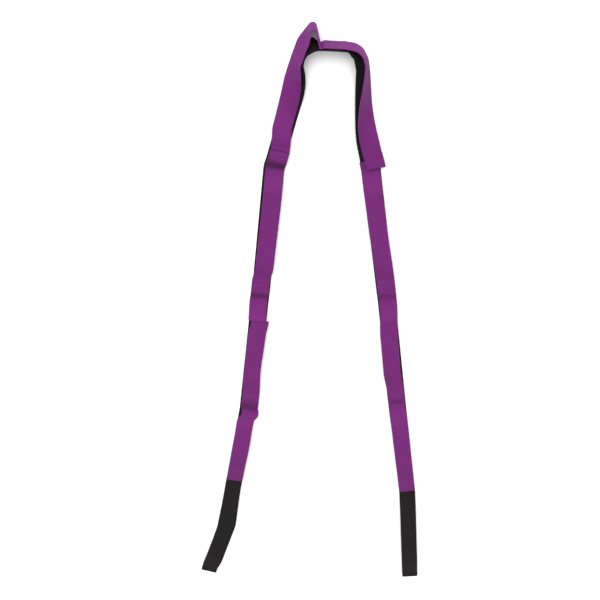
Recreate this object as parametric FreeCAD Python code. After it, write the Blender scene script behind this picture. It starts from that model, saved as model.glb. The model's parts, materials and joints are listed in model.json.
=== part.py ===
import FreeCAD, Part
import math
import os

# Stretching strap: a webbing backing strip with eight grip loops sewn along it and an end loop
# folded at each tip. The strap lies on a surface as an arch: the middle stands on its edge, both
# arms twist down until they are flat, and the two legs run away along -Y, opening slightly.
#
# Frame: +Z up, z = 0 is the surface, X across the two legs, +Y towards the arch.
# A side is -1 for the left leg (towards -X) and +1 for the right leg. A leg is a chain of links
# numbered from the middle: link 1 is the arm of the arch. A link ends in a box-stitched seam, and
# the strap folds just past each seam, where a short gap separates the solids of the two links.

Vector = FreeCAD.Vector
UP = Vector(0, 0, 1)

# Driving dimensions, in millimetres and degrees.
WEB_WIDTH = 25.4
WEB_THICK = 1.8
SEAM_LENGTH = 24.0
FOLD_GAP = 8.0
END_FOLD_GAP = 12.0
LAYER_CLEARANCE = 0.2
END_CLEARANCE = 0.4
GRIP_BOW = 8.5
END_BOW = 8.0

THREAD_WIDTH = 1.1
THREAD_HEIGHT = 0.4
STITCH_INSET = 2.2

# The middle seam, which stands on its edge across the top of the arch.
SHELF_Y = 454.6
CENTRE_SEAM_X = 24.8
HALF_CENTRE = 9.0

# Each arm of the arch: the corner's distance from the middle seam's centre and its bend radius, the
# arm's angle off -Y, the corner's distance from the first leg seam, and the length over which the
# web twists flat.
ARMS = {
    -1: {"corner": 42.0, "radius": 14.0, "heading": 15.5, "length": 161.0, "twist": 100.0},
    1: {"corner": 30.5, "radius": 16.0, "heading": 11.8, "length": 162.0, "twist": 145.0},
}

# The links past the arm: the angle off -Y and the distance from seam centre to seam centre.
LINKS = {
    -1: [(5.7, 207.5), (6.3, 203.0), (10.0, 146.0)],
    1: [(7.8, 208.0), (7.3, 189.0), (7.5, 180.0)],
}
GRIP_STEPS = 20

# The end loops: runs of (angle off -Y, length), the first measured from the last seam's centre.
END_LOOPS = {
    -1: [(9.5, 112.0), (17.5, 109.0)],
    1: [(4.1, 204.5)],
}
END_BEND_RADIUS = 60.0
TIP_GAP = 1.2
TIP_STEPS = 8

# The first grip loop of each side stands off the arch. The left one rises to a peak beside the
# middle seam, and the right one bows out round the corner.
PEAK_HEIGHT = 29.8
PEAK_SETBACK = 7.2
PEAK_RADIUS = 3.5
# Where it bends on its way down: the distance down the arm from the corner, and out from its edge.
SHOULDERS = [(-5.0, 1.4), (48.8, 4.5), (100.0, 3.0)]
SHOULDER_RADIUS = 30.0
RIGHT_BOW = 8.3
RIGHT_BOW_PEAK = 0.2
RIGHT_BOW_END = 0.9
RIGHT_TWIST_EASE = -0.1
ARM_CLEARANCE = 0.8
ARM_STEP = 9.0
ARC_STEP = 15.0
FLAT_ENOUGH = 1e-5

SIDE_NAMES = {-1: "left", 1: "right"}
HALF_SEAM = SEAM_LENGTH / 2


def heading_vector(side, degrees):
    """The direction along a leg, away from the arch."""
    angle = math.radians(degrees)
    return Vector(side * math.sin(angle), -math.cos(angle), 0)


def inward_of(side, forward):
    """The level direction across the web, from its outer edge to its inner edge."""
    return Vector(side * forward.y, -side * forward.x, 0)


def smooth(u):
    u = min(1.0, max(0.0, u))
    return u * u * (3 - 2 * u)


class Station:
    """One cross-section of a web: its outer edge, and the directions along, across and out of it."""

    def __init__(self, side, edge, forward, tilt=0.0):
        inward = inward_of(side, forward)
        lean = math.radians(tilt)
        self.edge = edge
        self.forward = forward
        self.across = inward * math.cos(lean) + UP * math.sin(lean)
        self.normal = UP * math.cos(lean) - inward * math.sin(lean)

    def moved(self, along=0.0, out=0.0):
        """The same section further along the web, or lifted off its face."""
        other = Station.__new__(Station)
        other.__dict__.update(self.__dict__)
        other.edge = self.edge + self.forward * along + self.normal * out
        return other

    def middle(self, out=0.0):
        return self.edge + self.across * (WEB_WIDTH / 2) + self.normal * out

    def corners(self, low, high):
        """The rectangle of a layer that lies between two heights over the web's back face."""
        far = self.edge + self.across * WEB_WIDTH
        return [
            self.edge + self.normal * low,
            far + self.normal * low,
            far + self.normal * high,
            self.edge + self.normal * high,
        ]


def facets(a, b, c, d):
    """The quadrilateral a b c d: one flat face, or two triangles where the web twists."""
    across = (b - a).cross(c - a)
    if abs(across.normalize().dot(d - a)) < FLAT_ENOUGH:
        return [Part.Face(Part.makePolygon([a, b, c, d, a]))]
    return [Part.Face(Part.makePolygon([a, b, c, a])), Part.Face(Part.makePolygon([a, c, d, a]))]


def ribbon(stations, low=0.0, high=WEB_THICK):
    """A layer of web through its cross-sections."""
    sections = [station.corners(low, high) for station in stations]
    faces = facets(*sections[0]) + facets(*sections[-1])
    for here, there in zip(sections, sections[1:]):
        for i, j in [(0, 1), (1, 2), (3, 2), (0, 3)]:
            faces += facets(here[i], here[j], there[j], there[i])
    shell = Part.makeShell(faces)
    shell.sewShape()
    solid = Part.makeSolid(shell)
    if solid.Volume < 0:
        solid.reverse()
    return solid


def bend_samples(centre, start, forward, turn):
    """Points and directions round a bend, as (point, forward) pairs."""
    count = max(1, math.ceil(abs(turn) / ARC_STEP))
    found = []
    for i in range(count + 1):
        spin = FreeCAD.Rotation(UP, turn * i / count)
        found.append((centre + spin.multVec(start - centre), spin.multVec(forward)))
    return found


def route(corners, radii, step):
    """Points and directions along straight runs with rounded corners, as (point, forward) pairs."""
    samples = []
    here = corners[0]
    for i in range(1, len(corners)):
        forward = (corners[i] - corners[i - 1]).normalize()
        bend = []
        stop = corners[i]
        if i < len(corners) - 1:
            after = (corners[i + 1] - corners[i]).normalize()
            turn = math.degrees(math.atan2(forward.cross(after).z, forward.dot(after)))
            cut = radii[i - 1] * math.tan(math.radians(abs(turn) / 2))
            stop = corners[i] - forward * cut
            turned = Vector(-forward.y, forward.x, 0) * math.copysign(radii[i - 1], turn)
            bend = bend_samples(stop + turned, stop, forward, turn)
        runs = max(1, math.ceil((stop - here).Length / step))
        samples += [(here + (stop - here) * (k / runs), forward) for k in range(runs)]
        if bend:
            samples += bend[:-1]
            here = bend[-1][0]
        else:
            samples.append((stop, forward))
    return samples


def travelled(samples):
    """The distance of each sample from the first."""
    distances = [0.0]
    for (a, _), (b, _) in zip(samples, samples[1:]):
        distances.append(distances[-1] + (b - a).Length)
    return distances


def twist_tilt(side, distance):
    """How far the web leans up from flat, a given way down an arm from the shelf."""
    u = min(1.0, max(0.0, distance / ARMS[side]["twist"]))
    right = u + RIGHT_TWIST_EASE * math.sin(math.pi * u) * u
    eased = math.sin(u * math.pi / 2) if side < 0 else right
    return 90 * (1 - eased)


def fold_x(side):
    """The x of the fold beside the middle seam."""
    return CENTRE_SEAM_X + side * (HALF_CENTRE + FOLD_GAP / 2)


def corner_point(side):
    return Vector(CENTRE_SEAM_X + side * ARMS[side]["corner"], SHELF_Y, 0)


def arm_end(side, distance):
    """The outer edge of the arm, a given way from its corner."""
    return corner_point(side) + heading_vector(side, ARMS[side]["heading"]) * distance


def tilted(side, samples):
    """Stations along an arm, each leaned by the twist at its distance down the arm."""
    slant = math.cos(math.radians(ARMS[side]["heading"]))
    return [
        Station(side, point, forward, twist_tilt(side, (SHELF_Y - point.y) / slant))
        for point, forward in samples
    ]


def backing_arm(side):
    """The backing of an arm, from the fold beside the middle seam to the end of the first seam."""
    start = Vector(fold_x(side) + side * FOLD_GAP / 2, SHELF_Y, 0)
    end = arm_end(side, ARMS[side]["length"] + HALF_SEAM)
    corners = [start, corner_point(side), end]
    return tilted(side, route(corners, [ARMS[side]["radius"]], ARM_STEP))


def left_peak():
    """The left arm's grip loop: up to a peak beside the middle seam, then down onto the arm."""
    side = -1
    start = Vector(fold_x(side) + side * FOLD_GAP / 2, SHELF_Y + WEB_THICK + LAYER_CLEARANCE, 0)
    peak = start + Vector(-PEAK_SETBACK, PEAK_HEIGHT, 0)
    heading = heading_vector(side, ARMS[side]["heading"])
    outward = inward_of(side, heading) * -1
    shoulders = [arm_end(side, down) + outward * out for down, out in SHOULDERS]
    end = arm_end(side, ARMS[side]["length"] - HALF_SEAM - END_CLEARANCE)
    radii = [PEAK_RADIUS] + [SHOULDER_RADIUS] * len(shoulders)
    samples = route([start, peak, *shoulders, end], radii, ARM_STEP)
    stations = tilted(side, samples)
    return [s.moved(out=(WEB_THICK + ARM_CLEARANCE) * s.normal.z) for s in stations]


def right_bow():
    """The right arm's grip loop: it follows the backing and bows out round the corner."""
    side = 1
    stations = backing_arm(side)
    distances = travelled([(s.edge, None) for s in stations])
    end = distances[-1] - SEAM_LENGTH - END_CLEARANCE
    lifted = []
    for station, distance in zip(stations, distances):
        if distance < end - ARM_STEP / 2:
            u = distance / end
            fall = (u - RIGHT_BOW_PEAK) / (RIGHT_BOW_END - RIGHT_BOW_PEAK)
            bow = RIGHT_BOW * smooth(u / RIGHT_BOW_PEAK) * (1 - smooth(fall))
            lifted.append(station.moved(out=WEB_THICK + LAYER_CLEARANCE + bow))
    last = Station(side, arm_end(side, ARMS[side]["length"] - HALF_SEAM - END_CLEARANCE),
                   heading_vector(side, ARMS[side]["heading"]))
    lifted.append(last.moved(out=WEB_THICK + LAYER_CLEARANCE))
    return lifted


def leg(side):
    """The stations at the seam centres of a leg, each at the outer edge, with the link's own heading.

    Each entry is (station at the link's inner end, station at its seam's centre).
    """
    arm_heading = heading_vector(side, ARMS[side]["heading"])
    seam = Station(side, arm_end(side, ARMS[side]["length"]), arm_heading)
    links = [(None, seam)]
    for degrees, length in LINKS[side]:
        fold = seam.middle() + seam.forward * (HALF_SEAM + FOLD_GAP / 2)
        forward = heading_vector(side, degrees)
        inner = Station(side, fold - inward_of(side, forward) * (WEB_WIDTH / 2), forward)
        seam = inner.moved(along=length - HALF_SEAM - FOLD_GAP / 2)
        links.append((inner.moved(along=FOLD_GAP / 2), seam))
    return links


def end_loop(side):
    """Stations along an end loop's lower layer, flat on the surface, from the last fold to the tip."""
    seam = leg(side)[-1][1]
    fold = seam.middle() + seam.forward * (HALF_SEAM + END_FOLD_GAP / 2)
    runs = END_LOOPS[side]
    lengths = [length for _, length in runs]
    lengths[0] -= HALF_SEAM + END_FOLD_GAP
    lengths[-1] -= tip_radius()
    corners = [fold + heading_vector(side, runs[0][0]) * (END_FOLD_GAP / 2)]
    for (degrees, _), length in zip(runs, lengths):
        corners.append(corners[-1] + heading_vector(side, degrees) * length)
    samples = route(corners, [END_BEND_RADIUS] * (len(corners) - 2), ARM_STEP)
    half = WEB_WIDTH / 2
    return [Station(side, point - inward_of(side, forward) * half, forward)
            for point, forward in samples]


def tip_radius():
    return WEB_THICK + TIP_GAP / 2


def tip_turn(last):
    """Stations round the fold at the tip of an end loop, from the lower layer up to the upper one."""
    centre = last.edge + UP * tip_radius()
    found = []
    for i in range(1, TIP_STEPS + 1):
        angle = math.pi * i / TIP_STEPS
        station = last.moved()
        station.normal = UP * math.cos(angle) - last.forward * math.sin(angle)
        station.edge = centre - station.normal * tip_radius()
        found.append(station)
    return found


def bowed(stations, bow, low, end_low):
    """The same stations, lifted into a long bow that is level at both ends."""
    distances = travelled([(s.edge, None) for s in stations])
    lifted = []
    for station, distance in zip(stations, distances):
        u = distance / distances[-1]
        height = low + (end_low - low) * smooth(u) + bow * (1 - math.cos(2 * math.pi * u)) / 2
        lifted.append(station.moved(out=height))
    return lifted


def evenly(first, last, count):
    """Stations at even distances on a straight web."""
    span = last.edge - first.edge
    return [first.moved(along=span.Length * i / count) for i in range(count + 1)]


def stitch_bar(start, end):
    """A flat row of thread between two points, in the plane z = 0."""
    span = end - start
    bar = Part.makeBox(span.Length + THREAD_WIDTH, THREAD_WIDTH, THREAD_HEIGHT,
                       Vector(-THREAD_WIDTH / 2, -THREAD_WIDTH / 2, 0))
    bar.Placement = FreeCAD.Placement(start, FreeCAD.Rotation(Vector(1, 0, 0), span))
    return bar


def box_stitch(seam, layers, half_seam=HALF_SEAM):
    """A sewn box with its two diagonals, on the top layer of a seam."""
    half_width = WEB_WIDTH / 2 - STITCH_INSET
    half_length = half_seam - STITCH_INSET
    a = Vector(-half_width, -half_length, 0)
    b = Vector(half_width, -half_length, 0)
    c = Vector(half_width, half_length, 0)
    d = Vector(-half_width, half_length, 0)
    bars = [stitch_bar(p, q) for p, q in [(a, b), (b, c), (c, d), (d, a), (a, c), (b, d)]]
    sewn = bars[0].multiFuse(bars[1:]).removeSplitter()
    along = seam.normal.cross(seam.across)
    turn = FreeCAD.Rotation(seam.across, along, seam.normal, "ZXY")
    sewn.Placement = FreeCAD.Placement(seam.middle(out=layers * WEB_THICK), turn)
    return sewn


def seam_block(seam, low_layer, half_seam=HALF_SEAM):
    """One layer of web held by a seam."""
    ends = [seam.moved(along=-half_seam), seam.moved(along=half_seam)]
    return ribbon(ends, low_layer * WEB_THICK, (low_layer + 1) * WEB_THICK)


def centre_seam():
    return Station(1, Vector(CENTRE_SEAM_X, SHELF_Y, 0), Vector(1, 0, 0), 90)


def build_centre():
    seam = centre_seam()
    return {
        "backing_centre": seam_block(seam, 0, HALF_CENTRE),
        "seam_centre": seam_block(seam, 1, HALF_CENTRE),
        "stitching_centre": box_stitch(seam, 2, HALF_CENTRE),
    }


def build_arm(side):
    name = SIDE_NAMES[side]
    return {
        f"backing_{name}_1": ribbon(backing_arm(side)),
        f"grip_{name}_1": ribbon(left_peak() if side < 0 else right_bow()),
    }


def build_link(side, number, inner, seam, layers):
    """A flat link's backing, and the grip loop that stands on it."""
    name = SIDE_NAMES[side]
    finish = seam.moved(along=-HALF_SEAM - END_CLEARANCE)
    low = WEB_THICK + LAYER_CLEARANCE
    end_low = (layers - 1) * WEB_THICK + LAYER_CLEARANCE
    loop = bowed(evenly(inner, finish, GRIP_STEPS), GRIP_BOW, low, end_low)
    return {
        f"backing_{name}_{number}": ribbon([inner, seam.moved(along=HALF_SEAM)]),
        f"grip_{name}_{number}": ribbon(loop),
    }


def build_end_loop(side, seam):
    name = SIDE_NAMES[side]
    lower = end_loop(side)
    upper = bowed(lower, END_BOW, WEB_THICK + LAYER_CLEARANCE, WEB_THICK + TIP_GAP)
    upper[-1] = upper[-1].moved(along=-END_CLEARANCE)
    return {
        f"end_loop_{name}_under": ribbon(lower + tip_turn(lower[-1])),
        f"end_loop_{name}_over": ribbon(upper),
        f"end_loop_{name}_tab": seam_block(seam, 1),
    }


def build_side(side):
    """One arm and its leg. The last seam holds a third layer, the end loop's tab."""
    name = SIDE_NAMES[side]
    links = leg(side)
    parts = build_arm(side)
    for number, (inner, seam) in enumerate(links, 1):
        layers = 3 if number == len(links) else 2
        parts[f"seam_{name}_{number}"] = seam_block(seam, layers - 1)
        parts[f"stitching_{name}_{number}"] = box_stitch(seam, layers)
        if number > 1:
            parts.update(build_link(side, number, inner, seam, layers))
    parts.update(build_end_loop(side, links[-1][1]))
    return parts


def build():
    return {**build_centre(), **build_side(-1), **build_side(1)}


os.makedirs("parts", exist_ok=True)
for node, solid in build().items():
    solid.exportStep(f"parts/{node}.step")
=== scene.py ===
import json
import math

import bpy
from mathutils import Matrix, Quaternion, Vector


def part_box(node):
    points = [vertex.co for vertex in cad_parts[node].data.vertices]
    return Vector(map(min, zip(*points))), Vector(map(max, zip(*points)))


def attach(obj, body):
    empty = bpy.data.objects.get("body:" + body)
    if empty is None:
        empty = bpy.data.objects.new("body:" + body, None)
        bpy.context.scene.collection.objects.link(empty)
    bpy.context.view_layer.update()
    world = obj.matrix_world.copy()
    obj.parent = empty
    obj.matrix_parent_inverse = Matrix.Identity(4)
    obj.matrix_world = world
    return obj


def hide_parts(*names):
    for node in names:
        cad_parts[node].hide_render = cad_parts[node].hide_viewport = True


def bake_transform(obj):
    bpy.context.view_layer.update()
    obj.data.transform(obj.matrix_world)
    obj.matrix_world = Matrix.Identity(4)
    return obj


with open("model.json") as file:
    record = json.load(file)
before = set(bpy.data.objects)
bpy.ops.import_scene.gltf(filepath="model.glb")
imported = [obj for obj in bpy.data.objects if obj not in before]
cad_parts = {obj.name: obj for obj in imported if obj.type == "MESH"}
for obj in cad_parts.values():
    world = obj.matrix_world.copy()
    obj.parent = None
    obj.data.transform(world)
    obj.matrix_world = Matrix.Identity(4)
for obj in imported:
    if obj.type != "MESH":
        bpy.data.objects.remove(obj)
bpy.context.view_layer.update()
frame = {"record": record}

# Lengths are in metres and angles in degrees. A side is -1 for the left leg and +1 for the right.
# A section's heights run outwards from the back face of the backing: the purple side is outside.
UP = Vector((0, 0, 1))
SIDES = {-1: "left", 1: "right"}
LINKS = (1, 2, 3, 4)

WEB = 0.0254
HALF_WEB = WEB / 2
THICK = 0.0018
HALF_SEAM = 0.012
HALF_CENTRE = 0.009
FOLD_HALF = 0.004
END_FOLD_HALF = 0.006
LAYER_GAP = 0.0002

# The arms of the arch, close to the CAD model: bend radius, and the length that twists flat.
CORNER_RADIUS = {-1: 0.014, 1: 0.016}
TWIST_LENGTH = {-1: 0.100, 1: 0.145}
RIGHT_TWIST_EASE = -0.1
ARM_GAP = 0.0008
PEAK_HEIGHT = 0.0285
PEAK_SETBACK = 0.0062
PEAK_RADIUS = 0.0035
# Corners of the left loop's outer edge: (distance down the arm from the arch's corner, outwards).
SHOULDERS = [(-0.005, 0.0014), (0.0488, 0.0045), (0.118, 0.0036)]
SHOULDER_RADIUS = 0.030
# Where the left loop turns to run along its seam, and how it swells away from the arm before that:
# heights, then distances before the seam's centre and the runs over which each change happens.
STRAIGHTEN_RUN = 0.016
SWELL = 0.0035
SWELL_START = 0.075
SWELL_RISE = 0.030
SWELL_END = 0.036
SWELL_FALL = 0.024
ARM_GAP_END = 0.030
ARM_GAP_FALL = 0.018
# The right loop bows off its arm: how far, and the shares of its length where it peaks and ends.
RIGHT_BOW = 0.0083
RIGHT_BOW_PEAK = 0.2
RIGHT_BOW_END = 0.9
RIGHT_EXTRA_LEAN = 5.0
RIGHT_LOOP_CUT = 0.0030
# The left loop's tilt past its peak, and the run over which it leans to that.
LEFT_LEAN = 60.0
LEFT_LEAN_RUN = 0.030
# How much the middle seam's line turns towards the legs.
SHELF_SLOPE = 0.060
# The standing backing leans in at its top, most at the corners, and its foot bulges out under the
# loops that stand off: the bulge's size, the run over which it grows, and where and how it falls.
STEEPEST = 86.0
CORNER_LEANS = {-1: (63.0, 0.020), 1: (74.0, 0.012)}
BULGES = {-1: (0.0065, 0.008, 0.008, 0.014), 1: (0.0050, 0.018, 0.055, 0.050)}

# How a leg's layers lie. A seam's stack rises off the surface before it drops into the fold.
SEAM_LIFT = {(-1, 1): 0.0042, (-1, 2): 0.0026, (-1, 3): 0.0024, (-1, 4): 0.0018,
             (1, 1): 0.0010, (1, 2): 0.0026, (1, 3): 0.0024, (1, 4): 0.0018}
LIFT_RUN = 0.060
GRIP_RISE = 0.0062
GRIP_RUN = 0.038
# Where the purple web is stitched to one side of the backing, towards +X.
SEAM_SHIFT = {(-1, 1): 0.0030, (-1, 2): -0.0014, (-1, 3): 0.0022, (-1, 4): 0.0,
              (1, 1): -0.0010, (1, 2): 0.0020, (1, 3): -0.0012, (1, 4): 0.0}
# Where the purple web comes out from under the flap, past the first right seam's centre.
FLAP_SEAM_START = 0.0018
# Where a grip loop wanders to one side between two seams: (share of its length, shift to +X).
GRIP_DRIFT = {
    (-1, 2): [(0.2, 0.0030), (0.85, 0.0018)],
    (-1, 3): [(0.0, -0.0020), (0.174, -0.0012), (0.184, 0.0034), (0.35, 0.0010), (0.7, -0.0003)],
    (-1, 4): [(0.0, 0.0042), (0.035, 0.0046), (0.15, -0.0010), (0.6, 0.0)],
    (1, 2): [(0.4, -0.0004)],
    (1, 3): [(0.4, -0.0020), (0.8, -0.0030)],
    (1, 4): [(0.35, -0.0004)],
}
# A pleat across a loop: where it is along the loop, and its height.
CREASES = {(-1, 3): (0.0311, 0.0016), (1, 3): (0.031, 0.0005), (-1, 4): (0.0095, 0.0006)}
CREASE_RISE = 0.009
CREASE_FALL = 0.0008
# How much painted shade darkens the web's colour at a seam's end, standing in for the shadow in the fold:
# strength, and where it starts from the centre.
PAINTED_FOLD_SHADE = {(-1, 1): (0.62, -0.004), (-1, 2): (0.45, 0.003), (-1, 3): (0.42, -0.012),
              (-1, 4): (0.0, 0.0), (1, 1): (0.15, 0.006), (1, 2): (0.22, 0.006),
              (1, 3): (0.22, 0.006), (1, 4): (0.0, 0.0)}

# The flap where the right arm's loop folds back over its seam.
FLAP_HEADING = 15.5
FLAP_SKEW = -3.0
FLAP_SHIFT = 0.0072
FLAP_REACH = 0.0113
FLAP_HEIGHT = 0.0062
FLAP_TURN = 0.0011
FLAP_RETURN = 0.018
FLAP_RUN = 0.034
# Shares of the right loop's length: where it starts to move over and up, and over what share.
FLAP_SHIFT_START = 0.45
FLAP_SHIFT_SHARE = 0.75
FLAP_LIFT_START = 0.55
FLAP_LIFT_SHARE = 0.5

# The end loops, as in the CAD model.
END_LOOPS = {-1: [(9.5, 0.112), (17.5, 0.109)], 1: [(4.1, 0.2045)]}
END_BEND_RADIUS = 0.060
TIP_GAP = 0.0012
TIP_STEPS = 14
TIP_NARROW = 0.94
END_BOW = 0.0070
END_DRIFT = {-1: (0.0030, -0.0016), 1: (0.0004, -0.0004)}
END_BOW_SHARE = 0.25

# Slight waves along a loop: height, and turns in radians over its length.
GRIP_WAVE = 0.0005
GRIP_WAVE_TURNS = 9
END_WAVE = 0.0004
END_WAVE_TURNS = 14

STEP = 0.0025
FINE_STEP = 0.0006
ARC_STEP = 5.0
EDGE_STEPS = 3
SPANS = 12
FINE_SPANS = 26
SEAM_REFINE = 4

STITCH_INSET = 0.0022
STITCH_PITCH = 0.0029
THREAD_RADIUS = 0.00040
THREAD_SIDES = 7
DENT_DEPTH = 0.00055
DENT_WIDTH = 0.0010


def smooth(u):
    u = min(1.0, max(0.0, u))
    return u * u * (3 - 2 * u)


def mix(a, b, share):
    return a + (b - a) * share


def along_points(points, u):
    """A smooth curve through (u, value) points."""
    for (u0, v0), (u1, v1) in zip(points, points[1:]):
        if u <= u1:
            return mix(v0, v1, smooth((u - u0) / (u1 - u0)))
    return points[-1][1]


def turned(vector, axis, degrees):
    return Quaternion(axis, math.radians(degrees)) @ vector


def heading_vector(side, degrees):
    angle = math.radians(degrees)
    return Vector((side * math.sin(angle), -math.cos(angle), 0))


def inward_of(side, forward):
    """The level direction across the web, from its outer edge to its inner edge."""
    return Vector((side * forward.y, -side * forward.x, 0))


class Section:
    """One cross-section of a web: the middle of its back face, and the ways along, across and out."""

    def __init__(self, point, forward, normal=UP, across=None, width=1.0):
        self.point = point
        self.forward = forward
        self.normal = normal
        self.across = across or normal.cross(forward)
        self.width = width

    def moved(self, along=0.0, across=0.0, out=0.0):
        point = self.point + self.forward * along + self.across * across + self.normal * out
        return Section(point, self.forward, self.normal, self.across, self.width)

    def shifted(self, step):
        return Section(self.point + step, self.forward, self.normal, self.across, self.width)


def leaned(side, edge, forward, tilt):
    """A section that stands on its outer edge, tilted up from flat."""
    inward = inward_of(side, forward)
    lean = math.radians(tilt)
    rise = inward * math.cos(lean) + UP * math.sin(lean)
    normal = UP * math.cos(lean) - inward * math.sin(lean)
    return Section(edge + rise * HALF_WEB, forward, normal)


def lengths_of(sections):
    """The distance along the web to each section."""
    found = [0.0]
    for a, b in zip(sections, sections[1:]):
        found.append(found[-1] + (b.point - a.point).length)
    return found


def divided(length, step):
    """Even distances from 0 to a length."""
    count = max(1, math.ceil(length / step))
    return [length * i / count for i in range(count + 1)]


def rounded(corners, radii, step):
    """Points and directions along straight runs with rounded corners."""
    found = []
    here = corners[0]
    for i in range(1, len(corners)):
        forward = (corners[i] - corners[i - 1]).normalized()
        bend = []
        stop = corners[i]
        if i < len(corners) - 1:
            after = (corners[i + 1] - corners[i]).normalized()
            turn = math.degrees(math.atan2(forward.cross(after).z, forward.dot(after)))
            radius = radii[i - 1]
            stop = corners[i] - forward * (radius * math.tan(math.radians(abs(turn) / 2)))
            centre = stop + Vector((-forward.y, forward.x, 0)) * math.copysign(radius, turn)
            for angle in divided(abs(turn), ARC_STEP):
                signed = math.copysign(angle, turn)
                spoke = turned(stop - centre, UP, signed)
                bend.append((centre + spoke, turned(forward, UP, signed)))
        run = (stop - here).length
        found += [(here + forward * distance, forward) for distance in divided(run, step)[:-1]]
        if bend:
            found += bend[:-1]
            here = bend[-1][0]
        else:
            found.append((stop, forward))
    return found


# ---------------------------------------------------------------- meshes

def outline(spans):
    """The web's rounded cross-section, as (across, height share) for the top and for the bottom."""
    radius = THICK / 2
    angles = [90 * i / EDGE_STEPS for i in range(EDGE_STEPS)]
    edge = [(-HALF_WEB + radius * (1 - math.cos(math.radians(a))), math.sin(math.radians(a)))
            for a in angles]
    inner = HALF_WEB - radius
    middle = [(-inner + 2 * inner * i / spans, 1.0) for i in range(spans + 1)]
    half = edge + middle + [(-a, h) for a, h in reversed(edge)]
    top = [(a, (1 + h) / 2) for a, h in half]
    bottom = [(a, (1 - h) / 2) for a, h in half[1:-1]]
    return top, bottom


def mesh_object(name, points, faces, uvs, material, sharp=50, painted_shades=None):
    mesh = bpy.data.meshes.new(name)
    mesh.from_pydata(points, [], faces)
    mesh.materials.append(material)
    # Painted shade: the per-point values go into the "crease" attribute, which darkens the web's colour
    # where the folds' shadow falls.
    if painted_shades:
        mesh.attributes.new("crease", "FLOAT", "POINT").data.foreach_set("value", painted_shades)
    layer = mesh.uv_layers.new(name="weave")
    for loop in mesh.loops:
        layer.data[loop.index].uv = uvs[loop.vertex_index]
    mesh.shade_smooth()
    mesh.set_sharp_from_angle(angle=math.radians(sharp))
    mesh.update()
    item = bpy.data.objects.new(name, mesh)
    bpy.context.scene.collection.objects.link(item)
    return item


def web(name, sections, material, start=0.0, dent=None, spans=SPANS, shade=None):
    """A closed strip of webbing through its sections.

    dent(across, along, on_top) sinks its face, and shade(along) is painted shade that darkens its colour,
    kept in the crease attribute.
    """
    top, bottom = outline(spans)
    rim = top + bottom[::-1]
    points, uvs, faces, painted_shades = [], [], [], []
    for section, along in zip(sections, lengths_of(sections)):
        painted_shades += [shade(along) if shade else 0.0] * len(rim)
        for index, (a, share) in enumerate(rim):
            sunk = dent(a, along, index < len(top)) if dent else 0.0
            height = THICK * share - sunk
            points.append(section.point + section.across * (a * section.width)
                          + section.normal * height)
            uvs.append(((a + HALF_WEB) * 1000, (start + along) * 1000))
    size = len(rim)
    for ring in range(len(sections) - 1):
        here, there = ring * size, (ring + 1) * size
        for j in range(size):
            k = (j + 1) % size
            faces.append((here + j, there + j, there + k, here + k))
    last = (len(sections) - 1) * size
    for j in range(len(top) - 1):
        under = [(size - j) % size, size - j - 1]
        corner = [j, j + 1, under[1], under[0]] if j + 1 < len(top) - 1 else [j, j + 1, under[0]]
        corner = corner if j else [0, 1, size - 1]
        faces.append(tuple(corner))
        faces.append(tuple(last + c for c in reversed(corner)))
    return mesh_object(name, points, faces, uvs, material, painted_shades=painted_shades)


def stitch_lines(half_seam):
    """The sewn box and its diagonals, as pairs of (across, along) from the seam's centre."""
    w = HALF_WEB - STITCH_INSET
    h = half_seam - STITCH_INSET
    a, b, c, d = (-w, -h), (w, -h), (w, h), (-w, h)
    return [(a, b), (b, c), (c, d), (d, a), (a, c), (b, d)]


def line_distance(a, s, line):
    (a0, s0), (a1, s1) = line
    da, ds = a1 - a0, s1 - s0
    share = ((a - a0) * da + (s - s0) * ds) / (da * da + ds * ds)
    share = min(1.0, max(0.0, share))
    return math.hypot(a - a0 - da * share, s - s0 - ds * share)


def stitch_dent(a, s, half_seam):
    """How deep the thread pulls the web in, at a place measured from the seam's centre."""
    near = min(line_distance(a, s, line) for line in stitch_lines(half_seam))
    return DENT_DEPTH * math.exp(-((near / DENT_WIDTH) ** 2))


def on_seam(sections, a, s):
    """The place and normal on a seam's middle stretch, from its own sections."""
    distances = lengths_of(sections)
    target = s + distances[-1] / 2
    for i in range(len(sections) - 1):
        if target <= distances[i + 1] or i == len(sections) - 2:
            share = (target - distances[i]) / (distances[i + 1] - distances[i])
            first, second = sections[i], sections[i + 1]
            point = first.point.lerp(second.point, share) + first.across * a
            return point, first.normal
    return sections[-1].point, sections[-1].normal


def thread(points, faces, uvs, path, radius):
    """One stitch: a thin round yarn along a short path, tapered where it dives into the web."""
    size = THREAD_SIDES
    base = len(points)
    rings = len(path)
    direction = (path[-1][0] - path[0][0]).normalized()
    for i, (point, normal) in enumerate(path):
        beside = direction.cross(normal)
        narrow = radius * (0.55 if i in (0, rings - 1) else 1.0)
        for j in range(size):
            angle = 2 * math.pi * j / size
            points.append(point + beside * (narrow * math.cos(angle))
                          + normal * (narrow * math.sin(angle)))
            uvs.append((j / size, i / (rings - 1) + base))
    for i in range(rings - 1):
        for j in range(size):
            k = (j + 1) % size
            here = base + i * size
            faces.append((here + j, here + k, here + size + k, here + size + j))
    faces.append(tuple(base + j for j in reversed(range(size))))
    faces.append(tuple(base + (rings - 1) * size + j for j in range(size)))


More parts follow.
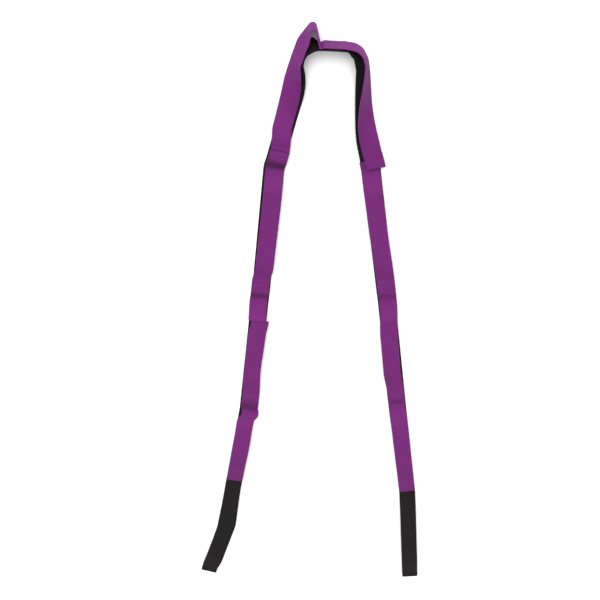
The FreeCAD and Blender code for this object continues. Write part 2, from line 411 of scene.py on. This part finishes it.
def stitching(name, sections, heights, material, half_seam=HALF_SEAM, first=-1.0):
    """The thread of one seam, on both faces of its stack, as a joined mesh of single stitches."""
    points, faces, uvs = [], [], []
    for height, outward in ((heights[0], 1), (heights[1], -1)):
        for (a0, s0), (a1, s1) in stitch_lines(half_seam):
            length = math.hypot(a1 - a0, s1 - s0)
            count = round(length / STITCH_PITCH)
            for i in range(count):
                if outward > 0 and mix(s0, s1, i / count) < first + THREAD_RADIUS:
                    continue
                path = []
                for step in range(5):
                    share = (i + 0.06 + 0.88 * step / 4) / count
                    place, normal = on_seam(sections, mix(a0, a1, share), mix(s0, s1, share))
                    arch = math.sin(math.pi * step / 4)
                    level = height - outward * (DENT_DEPTH + THREAD_RADIUS * (0.9 - 1.25 * arch))
                    path.append((place + normal * level, normal * outward))
                thread(points, faces, uvs, path, THREAD_RADIUS)
    return mesh_object(name, points, faces, uvs, material, sharp=70)


# ---------------------------------------------------------------- materials

class Nodes:
    """A material's node tree, with short ways to add maths to it."""

    def __init__(self, name):
        self.material = bpy.data.materials.new(name)
        self.material.use_nodes = True
        self.tree = self.material.node_tree
        self.shader = self.tree.nodes["Principled BSDF"]

    def add(self, kind, **settings):
        node = self.tree.nodes.new(kind)
        for key, value in settings.items():
            setattr(node, key, value)
        return node

    def put(self, socket, value):
        if isinstance(value, bpy.types.NodeSocket):
            self.tree.links.new(value, socket)
        else:
            socket.default_value = value

    def maths(self, operation, *values):
        node = self.add("ShaderNodeMath", operation=operation)
        for socket, value in zip(node.inputs, values):
            self.put(socket, value)
        return node.outputs[0]

    def noise(self, vector, scale, detail=3.0, roughness=0.55):
        node = self.add("ShaderNodeTexNoise")
        self.put(node.inputs["Vector"], vector)
        self.put(node.inputs["Scale"], scale)
        self.put(node.inputs["Detail"], detail)
        self.put(node.inputs["Roughness"], roughness)
        return node.outputs["Fac"]

    def spread(self, value, low, high, to_low, to_high):
        node = self.add("ShaderNodeMapRange")
        for socket, number in zip(node.inputs, (value, low, high, to_low, to_high)):
            self.put(socket, number)
        return node.outputs[0]

    def tinted(self, colour, factor):
        node = self.add("ShaderNodeVectorMath", operation="SCALE")
        self.put(node.inputs[0], colour)
        self.put(node.inputs["Scale"], factor)
        return node.outputs[0]

    def blended(self, share, a, b):
        node = self.add("ShaderNodeMix", data_type="RGBA")
        self.put(node.inputs["Factor"], share)
        self.put(node.inputs["A"], a)
        self.put(node.inputs["B"], b)
        return node.outputs["Result"]

    def bump(self, height, strength, distance):
        node = self.add("ShaderNodeBump")
        self.put(node.inputs["Strength"], strength)
        self.put(node.inputs["Distance"], distance)
        self.put(node.inputs["Height"], height)
        self.put(self.shader.inputs["Normal"], node.outputs[0])


# The weave, in millimetres: a column's width, a float's length, and the selvedge's width and ribs.
# TWILL is how far the floats move along from one column to the next, as a share of a float.
COLUMN = 2.1
PICK = 3.2
TWILL = 0.62
SELVEDGE = 1.5
EDGE_RIB = PICK * 0.6


def webbing(name, colour, light, depth, sheen, rough):
    """Woven webbing: slanted floats in columns, which line up as a twill, and a tight rib at each edge.

    The pattern is in the weave map's millimetres, across and along the web.
    """
    n = Nodes(name)
    weave = n.add("ShaderNodeUVMap", uv_map="weave").outputs[0]
    split = n.add("ShaderNodeSeparateXYZ")
    n.put(split.inputs[0], weave)
    across, along = split.outputs[0], split.outputs[1]
    wobble = n.maths("MULTIPLY", n.maths("SUBTRACT", n.noise(weave, 0.35), 0.5), 0.5)
    column = n.maths("DIVIDE", n.maths("ADD", across, wobble), COLUMN)
    centred = n.maths("SUBTRACT", n.maths("FRACT", column), 0.5)
    slant = n.maths("MULTIPLY", column, TWILL)
    phase = n.maths("ADD", n.maths("DIVIDE", n.maths("ADD", along, wobble), PICK), slant)
    wave = n.maths("SINE", n.maths("MULTIPLY", phase, 2 * math.pi))
    float_height = n.spread(wave, -1, 1, 0, 1)
    groove = n.maths("POWER", n.maths("MULTIPLY", n.maths("ABSOLUTE", centred), 2.0), 3.0)
    body = n.maths("MULTIPLY", n.maths("POWER", float_height, 0.6),
                   n.maths("SUBTRACT", 1.0, n.maths("MULTIPLY", groove, 0.45)))
    from_middle = n.maths("ABSOLUTE", n.maths("SUBTRACT", across, WEB * 500))
    from_edge = n.maths("SUBTRACT", WEB * 500, from_middle)
    edge = n.spread(from_edge, SELVEDGE, SELVEDGE - 0.25, 0, 1)
    ribs = n.maths("SINE", n.maths("MULTIPLY", along, 2 * math.pi / EDGE_RIB))
    tight = n.spread(ribs, -1, 1, 0.25, 0.9)
    height = n.maths("ADD", n.maths("MULTIPLY", body, n.maths("SUBTRACT", 1.0, edge)),
                     n.maths("MULTIPLY", tight, edge))
    stretch = n.add("ShaderNodeVectorMath", operation="MULTIPLY")
    n.put(stretch.inputs[0], weave)
    n.put(stretch.inputs[1], (9.0, 2.2, 1.0))
    fibre = n.noise(stretch.outputs[0], 1.0, 4.0, 0.7)
    patch = n.noise(weave, 0.045, 3.0)
    height = n.maths("ADD", height, n.maths("MULTIPLY", fibre, 0.35))
    shade = n.maths("MULTIPLY", n.spread(height, 0.1, 1.2, 1 - depth, 1 + depth * 0.4),
                    n.spread(patch, 0.3, 0.7, 0.94, 1.06))
    shade = n.maths("MULTIPLY", shade, n.spread(edge, 0, 1, 1.0, 0.93))
    # Painted shade: the crease attribute darkens the colour at the seams' folds, standing in for the shadow
    # there.
    crease = n.add("ShaderNodeAttribute", attribute_name="crease").outputs["Fac"]
    shade = n.maths("MULTIPLY", shade, n.maths("SUBTRACT", 1.0, crease))
    frayed = n.spread(fibre, 0.45, 0.62, 0, 0.55)
    worn = n.maths("MULTIPLY", n.spread(from_edge, 0.5, 0.05, 0, 1), frayed)
    n.put(n.shader.inputs["Base Color"], n.blended(worn, n.tinted(colour, shade), (*light, 1)))
    n.put(n.shader.inputs["Roughness"], n.spread(fibre, 0.3, 0.7, rough - 0.08, rough + 0.08))
    n.put(n.shader.inputs["Sheen Weight"], sheen)
    n.put(n.shader.inputs["Sheen Roughness"], 0.45)
    n.put(n.shader.inputs["Sheen Tint"], (*light, 1))
    n.put(n.shader.inputs["Specular IOR Level"], 0.18)
    n.bump(height, 0.8, 0.00045)
    return n.material


def yarn(name, colour, light):
    """Twisted sewing thread: a spiral of plies round each stitch."""
    n = Nodes(name)
    split = n.add("ShaderNodeSeparateXYZ")
    n.put(split.inputs[0], n.add("ShaderNodeUVMap", uv_map="weave").outputs[0])
    around = n.maths("MULTIPLY", split.outputs[0], 2.0)
    spiral = n.maths("ADD", around, n.maths("MULTIPLY", split.outputs[1], 4.0))
    ply = n.spread(n.maths("SINE", n.maths("MULTIPLY", spiral, 2 * math.pi)), -1, 1, 0, 1)
    place = n.add("ShaderNodeTexCoord").outputs["Object"]
    fuzz = n.noise(place, 2500.0, 3.0)
    shade = n.maths("MULTIPLY", n.spread(ply, 0, 1, 0.72, 1.08), n.spread(fuzz, 0.3, 0.7, 0.9, 1.1))
    n.put(n.shader.inputs["Base Color"], n.tinted(colour, shade))
    n.put(n.shader.inputs["Roughness"], n.spread(fuzz, 0.3, 0.7, 0.42, 0.6))
    n.put(n.shader.inputs["Sheen Weight"], 0.2)
    n.put(n.shader.inputs["Sheen Tint"], (*light, 1))
    n.bump(n.maths("ADD", ply, n.maths("MULTIPLY", fuzz, 0.4)), 0.6, 0.00012)
    return n.material


def floor_material():
    n = Nodes("pale_floor")
    grain = n.noise(n.add("ShaderNodeTexCoord").outputs["Object"], 900.0, 2.0)
    n.put(n.shader.inputs["Base Color"], n.tinted((0.93, 0.93, 0.93), n.spread(grain, 0.3, 0.7, 0.995, 1.0)))
    n.put(n.shader.inputs["Roughness"], 0.9)
    n.put(n.shader.inputs["Specular IOR Level"], 0.1)
    return n.material


PURPLE = webbing("purple_webbing", (0.147, 0.0125, 0.146), (0.34, 0.07, 0.34), 0.80, 0.04, 0.66)
BLACK = webbing("black_webbing", (0.0058, 0.0036, 0.0046), (0.020, 0.016, 0.018), 0.35, 0.008, 0.75)
THREAD = yarn("purple_thread", (0.085, 0.010, 0.085), (0.4, 0.12, 0.4))


# ---------------------------------------------------------------- where things are, from the frame

JOINTS = {joint["name"]: joint for joint in frame["record"]["behaviour"]["joints"]}


def fold_point(name):
    place = Vector(JOINTS[name]["pos_m"])
    return Vector((place.x, place.y, 0))


def seam_point(side, link):
    low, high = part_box(f"seam_{SIDES[side]}_{link}")
    middle = (low + high) / 2
    return Vector((middle.x, middle.y, 0))


SHELF_Y = JOINTS["left_centre_fold"]["pos_m"][1] - THICK


def seam_section(side, link):
    """The flat section at a seam's centre."""
    centre = seam_point(side, link)
    forward = (fold_point(f"{SIDES[side]}_fold_{link}") - centre).normalized()
    return Section(centre, forward)


def corner_point(side):
    """Where the outer edges of an arm and of the middle seam would meet."""
    seam = seam_section(side, 1)
    edge = seam.point - inward_of(side, seam.forward) * HALF_WEB
    level = edge - seam.forward * ((SHELF_Y - edge.y) / -seam.forward.y)
    return edge - seam.forward * ((shelf_point(level.x).y - edge.y) / -seam.forward.y)


def centre_fold_x(side):
    return JOINTS[f"{SIDES[side]}_centre_fold"]["pos_m"][0]


def shelf_point(x):
    """A place under the middle seam's back face, whose line turns a little towards the legs."""
    seam_starts = centre_fold_x(-1) + FOLD_HALF
    return Vector((x, SHELF_Y - SHELF_SLOPE * max(0.0, x - seam_starts), 0))


def twist_tilt(side, distance):
    u = min(1.0, max(0.0, distance / TWIST_LENGTH[side]))
    right = u + RIGHT_TWIST_EASE * math.sin(math.pi * u) * u
    return 90 * (1 - (math.sin(u * math.pi / 2) if side < 0 else right))


def arm_tilt(side, edge):
    slant = -seam_section(side, 1).forward.y
    return twist_tilt(side, (SHELF_Y - edge.y) / slant)


def lift(side, link, from_seam):
    """How high a seam's stack stands off the surface, at a distance past the seam's centre."""
    rise = smooth((from_seam + LIFT_RUN) / (LIFT_RUN + 0.002))
    fall = 1 - smooth((from_seam - 0.003) / 0.011)
    return SEAM_LIFT[side, link] * rise * fall


# ---------------------------------------------------------------- the arch

def arm_edge(side, cut=0.0):
    """Points and directions along an arm's outer edge, from the middle seam to the first seam's end.

    cut moves the corner towards the legs.
    """
    seam = seam_section(side, 1)
    start = shelf_point(centre_fold_x(side) + side * FOLD_HALF)
    finish = seam.point + seam.forward * HALF_SEAM - inward_of(side, seam.forward) * HALF_WEB
    corner = corner_point(side) - Vector((0, cut, 0))
    return rounded([start, corner, finish], [CORNER_RADIUS[side]], STEP)


def arm_backing(side):
    """The backing's sections from beside the middle seam to the end of the first seam."""
    seam = seam_section(side, 1)
    pairs = arm_edge(side)
    height, rise, fall_from, fall = BULGES[side]
    corner_tilt, corner_run = CORNER_LEANS[side]
    found = []
    run = 0.0
    for i, (edge, forward) in enumerate(pairs):
        run += (edge - pairs[i - 1][0]).length if i else 0.0
        bulge = height * smooth(run / rise) * (1 - smooth((run - fall_from) / fall))
        tilt = min(mix(STEEPEST, corner_tilt, smooth(run / corner_run)), arm_tilt(side, edge))
        tilt = math.degrees(math.acos(min(1.0, math.cos(math.radians(tilt)) + bulge / WEB)))
        section = leaned(side, edge - inward_of(side, forward) * bulge, forward, tilt)
        past = (section.point - seam.point).dot(seam.forward)
        found.append(section.shifted(UP * lift(side, 1, past)))
    return found


def left_peak():
    """The left arm's loop: up to a peak beside the middle seam, then down onto the arm."""
    side = -1
    seam = seam_section(side, 1)
    outward = inward_of(side, seam.forward) * -1
    start = Vector((centre_fold_x(side) - FOLD_HALF, SHELF_Y + THICK + LAYER_GAP, 0))
    peak = start + Vector((-PEAK_SETBACK, PEAK_HEIGHT, 0))
    corner = corner_point(side)
    shoulders = [corner + seam.forward * down + outward * out for down, out in SHOULDERS]
    finish = seam.point - seam.forward * HALF_SEAM + outward * HALF_WEB
    finish.x += SEAM_SHIFT[side, 1]
    radii = [PEAK_RADIUS] + [SHOULDER_RADIUS] * len(shoulders)
    found = []
    for edge, forward in rounded([start, peak, *shoulders, finish], radii, STEP):
        near = 1 - smooth((edge - finish).length / STRAIGHTEN_RUN)
        forward = forward.lerp(seam.forward, near).normalized()
        past_peak = (edge - peak).length if edge.x < peak.x else 0.0
        upright = mix(90.0, LEFT_LEAN, smooth(past_peak / LEFT_LEAN_RUN))
        section = leaned(side, edge, forward, min(upright, arm_tilt(side, edge)))
        past = (section.point - seam.point).dot(seam.forward)
        grown = smooth((past + SWELL_START) / SWELL_RISE)
        swell = SWELL * grown * (1 - smooth((past + SWELL_END) / SWELL_FALL))
        gap = mix(ARM_GAP, 0.0, smooth((past + ARM_GAP_END) / ARM_GAP_FALL))
        out = (THICK + gap) * section.normal.z + swell
        found.append(section.moved(out=out).shifted(UP * lift(side, 1, past)))
    return found


def right_bow():
    """The right arm's loop: round the corner, then over its own seam as a flap that folds under."""
    side = 1
    seam = seam_section(side, 1)
    path = [leaned(side, edge, forward, arm_tilt(side, edge))
            for edge, forward in arm_edge(side, RIGHT_LOOP_CUT)]
    distances = lengths_of(path)
    total = distances[-1] - 2 * HALF_SEAM
    flap_heading = heading_vector(side, FLAP_HEADING)
    flap_across = turned(UP.cross(flap_heading), UP, FLAP_SKEW)
    end = seam.moved(along=FLAP_REACH, across=FLAP_SHIFT).point
    found = []
    for section, distance in zip(path, distances):
        u = distance / total
        if distance > total - FLAP_RUN + 2 * HALF_SEAM:
            break
        fall = (u - RIGHT_BOW_PEAK) / (RIGHT_BOW_END - RIGHT_BOW_PEAK)
        bow = smooth(u / RIGHT_BOW_PEAK) * (1 - smooth(fall))
        edge = section.point - inward_tilted(side, section) * HALF_WEB
        tilt = arm_tilt(side, edge) + RIGHT_EXTRA_LEAN * bow
        base = edge + section.normal * (THICK + LAYER_GAP + RIGHT_BOW * bow)
        across = FLAP_SHIFT * smooth((u - FLAP_SHIFT_START) / FLAP_SHIFT_SHARE)
        raised = FLAP_HEIGHT * smooth((u - FLAP_LIFT_START) / FLAP_LIFT_SHARE)
        base = base + seam.across * across + UP * raised
        found.append(leaned(side, base, section.forward, min(90, tilt)))
    last = found[-1]
    top = Section(end + UP * FLAP_HEIGHT, flap_heading, UP, flap_across)
    span = (top.point - last.point).length
    for distance in divided(span, STEP)[1:]:
        share = distance / span
        point = bent_between(last.point, last.forward, top.point, top.forward, span, share)
        across = last.across.lerp(top.across, smooth(share)).normalized()
        forward = last.forward.lerp(top.forward, share).normalized()
        normal = forward.cross(across).normalized()
        found.append(Section(point, forward, normal, across))
    return found + flap_return(found[-1], seam)


def inward_tilted(side, section):
    """The way from a leaned section's outer edge to its inner edge."""
    return section.across * (-side)


def bent_between(a, forward_a, b, forward_b, span, share):
    """A point on the smooth curve from a to b that leaves and arrives along the given directions."""
    reach = span / 3
    one = a.lerp(a + forward_a * reach, share)
    two = (a + forward_a * reach).lerp(b - forward_b * reach, share)
    three = (b - forward_b * reach).lerp(b, share)
    return one.lerp(two, share).lerp(two.lerp(three, share), share)


def flap_return(last, seam):
    """Sections round the flap's folded edge and back beneath it."""
    found = []
    centre = last.point - last.normal * FLAP_TURN
    for i in range(1, TIP_STEPS + 1):
        angle = math.pi * i / TIP_STEPS
        normal = last.normal * math.cos(angle) + last.forward * math.sin(angle)
        forward = last.forward * math.cos(angle) - last.normal * math.sin(angle)
        found.append(Section(centre + normal * FLAP_TURN, forward, normal, last.across))
    under = found[-1]
    return found + [under.moved(along=d) for d in divided(FLAP_RETURN, STEP)[1:]]


# ---------------------------------------------------------------- the legs

def link_backing(side, link):
    """The backing of a flat link, from one fold gap to the end of its seam."""
    seam = seam_section(side, link)
    start = fold_point(f"{SIDES[side]}_fold_{link - 1}") + seam.forward * FOLD_HALF
    length = (seam.point - start).length + HALF_SEAM
    found = []
    for distance in divided(length, STEP):
        past = distance - length + HALF_SEAM
        found.append(Section(start, seam.forward).moved(along=distance, out=lift(side, link, past)))
    return found


def layers(link):
    """How many layers of web lie under the purple web at a seam."""
    return 2 if link == 4 else 1


def grip(side, link):
    """A flat link's loop, from the fold to its seam."""
    seam = seam_section(side, link)
    start = fold_point(f"{SIDES[side]}_fold_{link - 1}") + seam.forward * FOLD_HALF
    length = (seam.point - start).length - HALF_SEAM
    east = 1 if seam.across.x > 0 else -1
    drift = [*GRIP_DRIFT[side, link], (1.0, SEAM_SHIFT[side, link])]
    if drift[0][0] > 0:
        drift.insert(0, (0.0, SEAM_SHIFT[side, link - 1]))
    crease_at, crease_height = CREASES.get((side, link), (0.0, 0.0))
    found = []
    for distance in divided(length, CREASE_FALL):
        u = distance / length
        past = distance - length - HALF_SEAM
        rise = smooth((distance + 0.004) / GRIP_RUN) * smooth((length - distance) / GRIP_RUN)
        sway = GRIP_WAVE * math.sin(GRIP_WAVE_TURNS * u + link) * math.sin(math.pi * u)
        crease = crease_height * smooth((distance - crease_at) / CREASE_RISE + 1)
        crease *= 1 - smooth((distance - crease_at) / CREASE_FALL)
        level = mix(THICK, layers(link) * THICK, smooth(u))
        height = level + GRIP_RISE * rise + sway + crease + lift(side, link, past)
        shift = along_points(drift, u) * east
        found.append(Section(start, seam.forward).moved(along=distance, across=shift, out=height))
    return found


def seam_sections(side, link, under):
    """Sections through a seam, at a height over the backing's back face."""
    seam = seam_section(side, link)
    shift = SEAM_SHIFT[side, link] * (1 if seam.across.x > 0 else -1) if under else 0.0
    first = FLAP_SEAM_START if (side, link) == (1, 1) and under else -HALF_SEAM
    found = []
    for distance in divided(HALF_SEAM - first, FINE_STEP):
        past = distance + first
        found.append(seam.moved(along=past, across=shift, out=under + lift(side, link, past)))
    return found


def between(first, last, sag, steps=10):
    """Sections across a fold, from the last one of a strip to the first one of the next."""
    found = []
    span = (last.point - first.point).length
    for i in range(steps + 1):
        share = i / steps
        point = bent_between(first.point, first.forward, last.point, last.forward, span, share)
        across = first.across.lerp(last.across, smooth(share)).normalized()
        normal = first.normal.lerp(last.normal, smooth(share)).normalized()
        forward = first.forward.lerp(last.forward, share)
        dip = sag * math.sin(math.pi * share) ** 2
        found.append(Section(point - normal * dip, forward, normal, across))
    return found


# ---------------------------------------------------------------- the end loops

def end_under(side):
    """The lower layer of an end loop, on the surface from the last fold to the tip."""
    fold = fold_point(f"{SIDES[side]}_fold_4")
    runs = END_LOOPS[side]
    lengths = [length for _, length in runs]
    lengths[0] -= HALF_SEAM + 2 * END_FOLD_HALF
    lengths[-1] -= THICK + TIP_GAP / 2
    corners = [fold + heading_vector(side, runs[0][0]) * END_FOLD_HALF]
    for (degrees, _), length in zip(runs, lengths):
        corners.append(corners[-1] + heading_vector(side, degrees) * length)
    pairs = rounded(corners, [END_BEND_RADIUS] * (len(corners) - 2), STEP)
    found = [Section(point, forward) for point, forward in pairs]
    total = lengths_of(found)[-1]
    lower_drift, _ = END_DRIFT[side]
    return [section.moved(across=drift_across(section, distance / total, lower_drift))
            for section, distance in zip(found, lengths_of(found))]


def drift_across(section, u, amount):
    """How far across a section moves when its layer wanders by an amount towards +X."""
    east = 1 if section.across.x > 0 else -1
    return amount * east * smooth(u / 0.5) * smooth((1 - u) / 0.12)


def end_tip(last):
    """Sections round the fold at the tip, up to the upper layer and pointing back along it."""
    radius = THICK + TIP_GAP / 2
    centre = last.point + UP * radius
    found = []
    for i in range(1, TIP_STEPS + 1):
        angle = math.pi * i / TIP_STEPS
        normal = UP * math.cos(angle) - last.forward * math.sin(angle)
        forward = last.forward * math.cos(angle) + UP * math.sin(angle)
        width = 1 - (1 - TIP_NARROW) * math.sin(angle)
        found.append(Section(centre - normal * radius, forward, normal, last.across, width))
    return found


def end_over(side, under):
    """The upper layer of an end loop, from the last fold to the tip."""
    distances = lengths_of(under)
    lower_drift, upper_drift = END_DRIFT[side]
    found = []
    for section, distance in zip(under, distances):
        u = distance / distances[-1]
        rise = END_BOW * smooth(u / END_BOW_SHARE) * smooth((1 - u) / END_BOW_SHARE)
        low = mix(THICK + LAYER_GAP, THICK + TIP_GAP, smooth(u))
        wave = END_WAVE * math.sin(END_WAVE_TURNS * u) * math.sin(math.pi * u)
        drift = drift_across(section, u, upper_drift - lower_drift)
        found.append(section.moved(across=drift, out=low + rise + wave))
    return found


# ---------------------------------------------------------------- building, joining and riding

def add_loop(name, node, sections, material, middle=None):
    """A loop, made as two pieces of web that meet at its middle section."""
    middle = len(sections) // 2 if middle is None else middle
    first, second = sections[:middle + 1], sections[middle:]
    run = lengths_of(sections)[middle]
    for letter, part, start, anchor in (("a", first, 0.0, first[0]), ("b", second, run, second[-1])):
        piece = web(f"{name}_{letter}", part, material, start)
        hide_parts(node)
        lengths_of(part)[-1]
        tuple(anchor.point)
        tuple(sections[middle].point)
        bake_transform(piece)


def fold_strip(name, sections, material, shade=None):
    piece = web(name, sections, material, shade=shade)
    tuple(sections[0].point)
    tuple(sections[-1].point)
    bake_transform(piece)


def seam_dent(half_seam, first=None):
    """Dents in a seam's outer face, under the thread. The web starts at first, from the centre."""
    first = -half_seam if first is None else first

    def dent(a, along, on_top):
        return stitch_dent(a, along + first, half_seam) if on_top else 0.0
    return dent


def backing_dent(seam_starts_at, half_seam):
    """Dents in the backing's back face, where the thread shows beneath a seam."""
    def dent(a, along, on_top):
        s = along - seam_starts_at - half_seam
        if on_top or abs(s) > half_seam:
            return 0.0
        return -stitch_dent(a, s, half_seam)
    return dent


def refine(sections, start):
    """The same sections, with extra ones along the stretch after a distance."""
    found = []
    distances = lengths_of(sections)
    for i, (section, distance) in enumerate(zip(sections, distances)):
        found.append(section)
        if i < len(sections) - 1 and distance >= start - STEP:
            after = sections[i + 1]
            for k in range(1, SEAM_REFINE):
                share = k / SEAM_REFINE
                point = section.point.lerp(after.point, share)
                normal = section.normal.lerp(after.normal, share).normalized()
                found.append(Section(point, section.forward, normal, section.across))
    return found


def add_backing(name, node, sections, body):
    total = lengths_of(sections)[-1]
    seam_start = total - 2 * HALF_SEAM
    dent = backing_dent(seam_start, HALF_SEAM)
    piece = web(name, refine(sections, seam_start), BLACK, 0.0, dent, FINE_SPANS)
    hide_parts(node)
    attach(piece, body)
    return piece


def add_seam(side, link, body):
    side_name = SIDES[side]
    under = layers(link) * THICK
    sections = seam_sections(side, link, under)
    first = HALF_SEAM - lengths_of(sections)[-1]
    dent = seam_dent(HALF_SEAM, first)
    strength, dark_from = PAINTED_FOLD_SHADE[side, link]

    # Painted shade, growing towards the seam's end where the fold's shadow falls.
    def shade(along):
        return strength * smooth((along + first - dark_from) / (HALF_SEAM - dark_from))

    piece = web(f"seam_web_{side_name}_{link}", sections, PURPLE, 0.0, dent, FINE_SPANS, shade)
    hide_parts(f"seam_{side_name}_{link}")
    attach(piece, body)
    floor = seam_sections(side, link, 0.0)
    sewn = stitching(f"thread_{side_name}_{link}", floor, (under + THICK, 0.0), THREAD,
                     HALF_SEAM, first)
    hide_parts(f"stitching_{side_name}_{link}")
    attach(sewn, body)
    return sections, sewn


def body_of_link(side, link):
    name = SIDES[side]
    return f"{name}_arm" if link == 1 else f"{name}_link_{link}"


def build_centre():
    """The middle seam, standing on its edge."""
    low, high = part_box("seam_centre")
    foot = shelf_point((low.x + high.x) / 2)
    forward = Vector((1, -SHELF_SLOPE, 0)).normalized()
    seam = Section(foot + UP * HALF_WEB, forward, UP.cross(forward))
    steps = divided(2 * HALF_CENTRE, FINE_STEP)
    base = [seam.moved(along=distance - HALF_CENTRE) for distance in steps]
    stood = leaned(1, foot, forward, STEEPEST)
    leaning = [stood.moved(along=distance - HALF_CENTRE) for distance in steps]
    black = web("black_centre", leaning, BLACK, 0.0, backing_dent(0.0, HALF_CENTRE), FINE_SPANS)
    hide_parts("backing_centre")
    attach(black, "centre")
    top = [section.moved(out=THICK) for section in base]
    purple = web("seam_web_centre", top, PURPLE, 0.0, seam_dent(HALF_CENTRE), FINE_SPANS)
    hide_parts("seam_centre")
    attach(purple, "centre")
    sewn = stitching("thread_centre", base, (2 * THICK, 0.0), THREAD, HALF_CENTRE)
    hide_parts("stitching_centre")
    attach(sewn, "centre")
    return leaning, top


def build_side(side, centre_base, centre_top):
    name = SIDES[side]
    backings = {1: arm_backing(side)}
    grips = {1: left_peak() if side < 0 else right_bow()}
    for link in LINKS[1:]:
        backings[link] = link_backing(side, link)
        grips[link] = grip(side, link)
    seams = {}
    for link in LINKS:
        body = body_of_link(side, link)
        piece = add_backing(f"black_{name}_{link}", f"backing_{name}_{link}", backings[link], body)
        seams[link], sewn = add_seam(side, link, body)
        lengths_of(backings[link])[-1]
        middle = len(grips[1]) * 2 // 5 if link == 1 else None
        add_loop(f"loop_{name}_{link}", f"grip_{name}_{link}", grips[link], PURPLE,
                 middle)
        if link > 1:
            strip = between(backings[link - 1][-1], backings[link][0], 0.0)
            fold_strip(f"black_fold_{name}_{link - 1}", strip, BLACK)
            strip = between(seams[link - 1][-1], grips[link][0], 0.0002)
            # Painted shade on the purple fold strip, for the fold's shadow, fading out from the seam's end.
            strength = PAINTED_FOLD_SHADE[side, link - 1][0]
            fold_strip(f"purple_fold_{name}_{link - 1}", strip, PURPLE,
                       lambda along: strength * (1 - smooth(along / (2 * FOLD_HALF))))
    build_centre_folds(side, centre_base, centre_top, backings[1], grips[1])
    build_end(side, backings[4], seams[4])


def build_centre_folds(side, centre_base, centre_top, backing, loop):
    """The strips across the fold beside the middle seam."""
    name = SIDES[side]
    for colour, middle, arm, material in (("black", centre_base, backing, BLACK),
                                          ("purple", centre_top, loop, PURPLE)):
        first = middle[-1] if side > 0 else reversed_section(middle[0])
        strip = between(first, arm[0], 0.0)
        fold_strip(f"{colour}_fold_{name}_centre", strip, material)


def reversed_section(section):
    return Section(section.point, section.forward * -1, section.normal)


def build_end(side, backing, seam):
    name = SIDES[side]
    link_body, loop_body = f"{name}_link_4", f"{name}_end_loop"
    lower = end_under(side)
    tip = end_tip(lower[-1])
    piece = web(f"end_{name}_under", lower + tip, BLACK)
    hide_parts(f"end_loop_{name}_under")
    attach(piece, loop_body)
    lengths_of(lower + tip)[-1]
    upper = end_over(side, lower)
    add_loop(f"end_{name}_over", f"end_loop_{name}_over", upper, BLACK)
    tab_sections = seam_sections(side, 4, THICK)
    tab = web(f"end_{name}_tab", tab_sections, BLACK)
    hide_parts(f"end_loop_{name}_tab")
    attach(tab, link_body)
    fold_strip(f"black_fold_{name}_4", between(backing[-1], lower[0], 0.0), BLACK)
    fold_strip(f"black_fold_{name}_4_over", between(tab_sections[-1], upper[0], 0.0), BLACK)


# ---------------------------------------------------------------- floor, light and camera

FLOOR_SIZE = 80.0
SUN_FROM = Vector((-0.12, 0.80, 0.72))
SUN_STRENGTH = 3.7
SUN_ANGLE = 45.0
SKY_STRENGTH = 0.86
CAMERA_PLACE = Vector((-0.0160, 1.0036, 1.443))
CAMERA_RIGHT = Vector((1, 0, 0))
CAMERA_UP = Vector((0, 0.8393, -0.5437))
CAMERA_LENS = 72.0


def build_floor():
    half = FLOOR_SIZE / 2
    corners = [(-half, -half, 0), (half, -half, 0), (half, half, 0), (-half, half, 0)]
    uvs = [(0, 0), (1, 0), (1, 1), (0, 1)]
    item = mesh_object("floor", corners, [(0, 1, 2, 3)], uvs, floor_material())


def build_light():
    world = bpy.data.worlds.new("studio")
    world.use_nodes = True
    world.node_tree.nodes["Background"].inputs["Color"].default_value = (1, 1, 1, 1)
    world.node_tree.nodes["Background"].inputs["Strength"].default_value = SKY_STRENGTH
    bpy.context.scene.world = world
    light = bpy.data.lights.new("key", "SUN")
    light.energy = SUN_STRENGTH
    light.angle = math.radians(SUN_ANGLE)
    lamp = bpy.data.objects.new("key", light)
    lamp.rotation_mode = "QUATERNION"
    lamp.rotation_quaternion = SUN_FROM.to_track_quat("Z", "Y")
    bpy.context.scene.collection.objects.link(lamp)


def build_camera():
    data = bpy.data.cameras.new("camera")
    data.lens = CAMERA_LENS
    data.sensor_width = 36.0
    data.clip_start = 0.05
    data.clip_end = 50.0
    item = bpy.data.objects.new("camera", data)
    back = CAMERA_RIGHT.cross(CAMERA_UP)
    item.rotation_mode = "QUATERNION"
    item.rotation_quaternion = Matrix((CAMERA_RIGHT, CAMERA_UP, back)).transposed().to_quaternion()
    item.location = CAMERA_PLACE
    bpy.context.scene.collection.objects.link(item)
    bpy.context.scene.camera = item


build_floor()
middle_base, middle_top = build_centre()
for one_side in SIDES:
    build_side(one_side, middle_base, middle_top)
build_light()
build_camera()

scene = bpy.context.scene
scene.view_settings.view_transform = "Standard"
scene.view_settings.look = "None"
scene.view_settings.exposure = 0.0
scene.view_settings.gamma = 1.0
